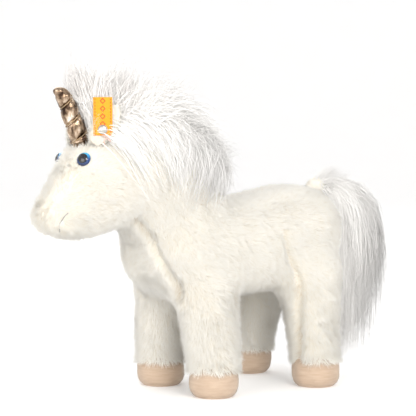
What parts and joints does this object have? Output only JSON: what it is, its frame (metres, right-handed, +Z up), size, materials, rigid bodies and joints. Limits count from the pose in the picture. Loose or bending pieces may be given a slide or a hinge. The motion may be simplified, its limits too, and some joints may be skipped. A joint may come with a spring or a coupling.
{
  "type": "plush unicorn",
  "caption": "Standing stuffed plush unicorn with short pile body, long pile mane and tail, cloth hooves, wound fabric horn, safety eyes and a tag on one ear.",
  "frame": {"origin": "on the ground, under the middle of the whole toy: midway from nose to tail and from left to right", "axes": "+Z up, -Y forwards (the way the nose points), +X the animal's own left side"},
  "size_m": [0.1194, 0.326, 0.2406],
  "materials": {
    "plush_cloth": "matte",
    "stuffing": "matte",
    "long_pile": "matte",
    "backing_cloth": "matte",
    "hoof_velour": "matte",
    "horn_lame": "satin",
    "metal_thread": "satin",
    "eye_blue": "gloss",
    "eye_black": "gloss",
    "post_plastic": "matte",
    "mouth_thread": "matte",
    "ear_lining": "matte",
    "tag_weave": "satin",
    "button_metal": "satin"
  },
  "bodies": {
    "torso": {"torso_cover_left": "plush_cloth", "torso_cover_right": "plush_cloth", "chest_and_belly_gusset": "plush_cloth", "torso_filling": "stuffing"},
    "neck": {"neck_cover_left": "plush_cloth", "neck_cover_right": "plush_cloth", "throat_panel": "plush_cloth", "neck_filling": "stuffing", "mane_backing": "backing_cloth", "mane_pile": "long_pile"},
    "head": {"head_cover_left": "plush_cloth", "head_cover_right": "plush_cloth", "face_gusset": "plush_cloth", "head_filling": "stuffing", "eye_irises": "eye_blue", "eye_pupils": "eye_black", "eye_posts": "post_plastic", "eye_lock_washers": "post_plastic", "mouth_stitch": "mouth_thread", "forelock_backing": "backing_cloth", "forelock_pile": "long_pile"},
    "horn": {"horn_cover": "horn_lame", "horn_filling": "stuffing", "horn_winding_thread": "metal_thread", "horn_base_hem": "horn_lame"},
    "ear_left": {"ear_back_left": "plush_cloth", "ear_lining_left": "ear_lining", "tag_button": "button_metal"},
    "ear_right": {"ear_back_right": "plush_cloth", "ear_lining_right": "ear_lining"},
    "tag": {"ear_tag": "tag_weave"},
    "tail_dock": {"tail_dock_cover": "plush_cloth", "tail_dock_filling": "stuffing"},
    "tail_tuft": {"tail_core": "backing_cloth", "tail_pile": "long_pile"},
    "front_left_leg": {"front_left_leg_cover_outer": "plush_cloth", "front_left_leg_cover_inner": "plush_cloth", "front_left_leg_filling": "stuffing", "front_left_hoof_wrap": "hoof_velour", "front_left_hoof_sole": "hoof_velour"},
    "front_right_leg": {"front_right_leg_cover_outer": "plush_cloth", "front_right_leg_cover_inner": "plush_cloth", "front_right_leg_filling": "stuffing", "front_right_hoof_wrap": "hoof_velour", "front_right_hoof_sole": "hoof_velour"},
    "rear_left_leg": {"rear_left_leg_cover_outer": "plush_cloth", "rear_left_leg_cover_inner": "plush_cloth", "rear_left_leg_filling": "stuffing", "rear_left_hoof_wrap": "hoof_velour", "rear_left_hoof_sole": "hoof_velour"},
    "rear_right_leg": {"rear_right_leg_cover_outer": "plush_cloth", "rear_right_leg_cover_inner": "plush_cloth", "rear_right_leg_filling": "stuffing", "rear_right_hoof_wrap": "hoof_velour", "rear_right_hoof_sole": "hoof_velour"}
  },
  "joints": [
    {"name": "neck_nod", "type": "hinge", "parent": "torso", "child": "neck", "pos_m": [0, -0.035, 0.11], "axis": [1, 0, 0], "range_deg": [-12, 12], "stiffness_Nm_per_rad": 2.5},
    {"name": "head_turn", "type": "hinge", "parent": "neck", "child": "head", "pos_m": [0, -0.0615, 0.1545], "axis": [0, -0.7201, 0.6939], "range_deg": [-30, 30], "stiffness_Nm_per_rad": 1.2},
    {"name": "horn_bend", "type": "hinge", "parent": "head", "child": "horn", "pos_m": [0, -0.1245, 0.1885], "axis": [1, 0, 0], "range_deg": [-10, 10], "stiffness_Nm_per_rad": 0.2},
    {"name": "ear_left_flop", "type": "hinge", "parent": "head", "child": "ear_left", "pos_m": [0.0165, -0.1235, 0.1865], "axis": [0.5187, 0.6916, -0.5026], "range_deg": [-8, 22], "stiffness_Nm_per_rad": 0.05},
    {"name": "ear_right_flop", "type": "hinge", "parent": "head", "child": "ear_right", "pos_m": [-0.0165, -0.1235, 0.1865], "axis": [0.5187, -0.6916, 0.5026], "range_deg": [-8, 22], "stiffness_Nm_per_rad": 0.05},
    {"name": "tag_swing", "type": "hinge", "parent": "ear_left", "child": "tag", "pos_m": [0.02012, -0.11868, 0.19687], "axis": [0.8, -0.6, 0], "range_deg": [-25, 25], "stiffness_Nm_per_rad": 0.01},
    {"name": "front_left_leg_swing", "type": "hinge", "parent": "torso", "child": "front_left_leg", "pos_m": [0.025, -0.032, 0.084], "axis": [1, 0, 0], "range_deg": [-18, 18], "stiffness_Nm_per_rad": 2.5},
    {"name": "front_right_leg_swing", "type": "hinge", "parent": "torso", "child": "front_right_leg", "pos_m": [-0.025, -0.032, 0.084], "axis": [1, 0, 0], "range_deg": [-18, 18], "stiffness_Nm_per_rad": 2.5},
    {"name": "rear_left_leg_swing", "type": "hinge", "parent": "torso", "child": "rear_left_leg", "pos_m": [0.027, 0.065, 0.092], "axis": [1, 0, 0], "range_deg": [-18, 15], "stiffness_Nm_per_rad": 2.5},
    {"name": "rear_right_leg_swing", "type": "hinge", "parent": "torso", "child": "rear_right_leg", "pos_m": [-0.027, 0.065, 0.092], "axis": [1, 0, 0], "range_deg": [-18, 15], "stiffness_Nm_per_rad": 2.5},
    {"name": "tail_lift", "type": "hinge", "parent": "torso", "child": "tail_dock", "pos_m": [0, 0.096, 0.149], "axis": [1, 0, 0], "range_deg": [0, 55], "stiffness_Nm_per_rad": 0.3},
    {"name": "tail_sway", "type": "hinge", "parent": "tail_dock", "child": "tail_tuft", "pos_m": [0, 0.107, 0.15], "axis": [0, 1, 0], "range_deg": [-25, 25], "stiffness_Nm_per_rad": 0.3}
  ]
}
